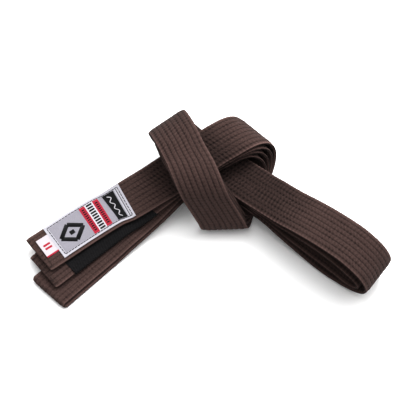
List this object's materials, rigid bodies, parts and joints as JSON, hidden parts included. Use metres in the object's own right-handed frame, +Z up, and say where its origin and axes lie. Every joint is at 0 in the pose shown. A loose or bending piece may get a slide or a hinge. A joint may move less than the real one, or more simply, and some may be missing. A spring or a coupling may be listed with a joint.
{
  "type": "martial arts belt",
  "caption": "Quilted cotton martial arts belt folded into a flat bundle and tied in a loose overhand knot, with a woven label, a size tag and a black rank bar.",
  "frame": {"origin": "middle of the bounding box at the surface the belt lies on", "axes": "+X along the spread of the two arms, towards the arm with the folded turns; +Z up"},
  "size_m": [0.3321, 0.1849, 0.0701],
  "materials": {
    "cover": "brown cotton drill quilted with rows of stitches",
    "filler": "soft undyed filler plies",
    "rank_bar": "black cotton weave",
    "label": "silver-grey woven label",
    "tag": "white woven tape"
  },
  "bodies": {
    "knot": {"cover_label_run_left_arm": "cover", "cover_label_run_curl": "cover", "cover_label_run_bottom_fold": "cover", "cover_label_run_over_band": "cover", "cover_label_run_top_fold": "cover", "cover_label_run_through_tunnel": "cover", "core_label_run_knot": "filler", "cover_rank_bar_run_left_arm": "cover", "cover_rank_bar_run_curl": "cover", "cover_rank_bar_run_bottom_fold": "cover", "cover_rank_bar_run_over_band": "cover", "cover_rank_bar_run_top_fold": "cover", "cover_rank_bar_run_through_tunnel": "cover", "core_rank_bar_run_knot": "filler", "cover_inner_run_left_arm": "cover", "cover_inner_run_curl": "cover", "cover_inner_run_bottom_fold": "cover", "cover_inner_run_over_band": "cover", "cover_inner_run_top_fold": "cover", "cover_inner_run_through_tunnel": "cover", "core_inner_run_knot": "filler", "cover_ground_run_left_arm": "cover", "cover_ground_run_curl": "cover", "cover_ground_run_bottom_fold": "cover", "cover_ground_run_over_band": "cover", "cover_ground_run_top_fold": "cover", "cover_ground_run_through_tunnel": "cover", "core_ground_run_knot": "filler", "cover_centre_fold": "cover", "core_centre_fold": "filler", "cover_outer_loop_upper": "cover", "cover_outer_loop_turn": "cover", "cover_outer_loop_lower": "cover", "core_outer_loop": "filler", "cover_inner_loop_upper": "cover", "cover_inner_loop_turn": "cover", "cover_inner_loop_lower": "cover", "core_inner_loop": "filler"},
    "label_end": {"cover_label_tail": "cover", "core_label_tail": "filler", "woven_label": "label"},
    "rank_bar_end": {"cover_rank_bar_tail": "cover", "core_rank_bar_tail": "filler", "rank_bar": "rank_bar"},
    "size_tag": {"size_tag": "tag"}
  },
  "joints": [
    {"name": "label_end_lift", "type": "hinge", "parent": "knot", "child": "label_end", "pos_m": [-0.04195, 0.02341, 0.03514], "axis": [-0.7383, 0.6744, 0], "range_deg": [0, 30]},
    {"name": "rank_bar_end_lift", "type": "hinge", "parent": "knot", "child": "rank_bar_end", "pos_m": [-0.0461, 0.01859, 0.02854], "axis": [-0.7378, 0.675, 0.0004], "range_deg": [0, 15]},
    {"name": "size_tag_flap", "type": "hinge", "parent": "label_end", "child": "size_tag", "pos_m": [-0.14118, -0.03279, 0.0181], "axis": [-0.5982, 0.8014, 0], "range_deg": [0, 150]}
  ],
  "couplings": [
    {"joint": "rank_bar_end_lift", "follows": "label_end_lift", "ratio": 0.5}
  ]
}
